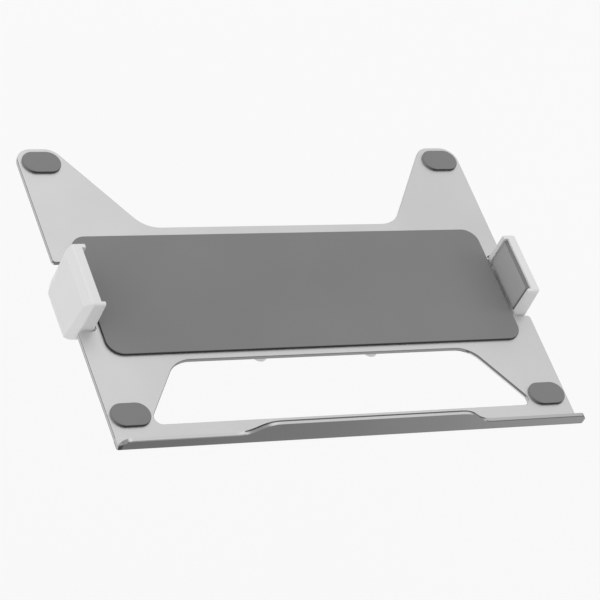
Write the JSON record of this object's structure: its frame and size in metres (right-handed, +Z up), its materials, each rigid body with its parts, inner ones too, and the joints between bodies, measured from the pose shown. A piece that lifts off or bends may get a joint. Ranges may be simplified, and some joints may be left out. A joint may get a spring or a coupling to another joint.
{
  "type": "laptop mount",
  "caption": "Folded sheet metal laptop tray for a monitor arm, with corner arms, a front lip, soft pads and two side grips that slide in and out together",
  "frame": {"origin": "middle of the square standoff pattern, on the plane of the standoffs' lower ends, where the mount is bolted to its arm", "axes": "+Z up out of the tray towards the laptop, -Y towards the folded front lip, X across the tray along its greatest width"},
  "size_m": [0.3114, 0.2212, 0.0365],
  "materials": {
    "satin_aluminium": "satin, fine bead blasted and clear anodised",
    "mat_rubber": "matte, fine grained",
    "grip_plastic": "smooth, soft gloss",
    "grip_rubber": "matte",
    "plated_steel": "zinc plated, satin",
    "channel_steel": "satin grey powder coat",
    "slide_acetal": "matte",
    "screw_steel": "black oxide"
  },
  "bodies": {
    "tray": {"tray_plate": "satin_aluminium", "centre_mat": "mat_rubber", "corner_pad_back_left": "mat_rubber", "corner_pad_back_right": "mat_rubber", "corner_pad_front_left": "mat_rubber", "corner_pad_front_right": "mat_rubber", "mount_standoffs": "plated_steel", "slide_channel": "channel_steel", "channel_screws": "screw_steel", "back_glide_strip": "slide_acetal", "front_glide_strip": "slide_acetal", "pinion_axle": "plated_steel", "pinion_washer": "plated_steel"},
    "left_grip": {"left_slide_arm": "plated_steel", "left_grip_shell": "grip_plastic", "left_grip_pad": "grip_rubber", "left_grip_screws": "screw_steel"},
    "right_grip": {"right_slide_arm": "plated_steel", "right_grip_shell": "grip_plastic", "right_grip_pad": "grip_rubber", "right_grip_screws": "screw_steel"},
    "pinion": {"drive_pinion": "slide_acetal"}
  },
  "joints": [
    {"name": "left_grip_slide", "type": "slide", "parent": "tray", "child": "left_grip", "axis": [-1, 0, 0], "range_m": [0, 0.05]},
    {"name": "right_grip_slide", "type": "slide", "parent": "tray", "child": "right_grip", "axis": [1, 0, 0], "range_m": [0, 0.05]},
    {"name": "pinion_spin", "type": "hinge", "parent": "tray", "child": "pinion", "pos_m": [0, 0, 0.0055], "axis": [0, 0, 1], "range_deg": [0, 318.4]}
  ],
  "couplings": [
    {"joint": "right_grip_slide", "follows": "left_grip_slide", "ratio": 1},
    {"joint": "pinion_spin", "follows": "left_grip_slide", "rad_per_m": 111.11}
  ]
}
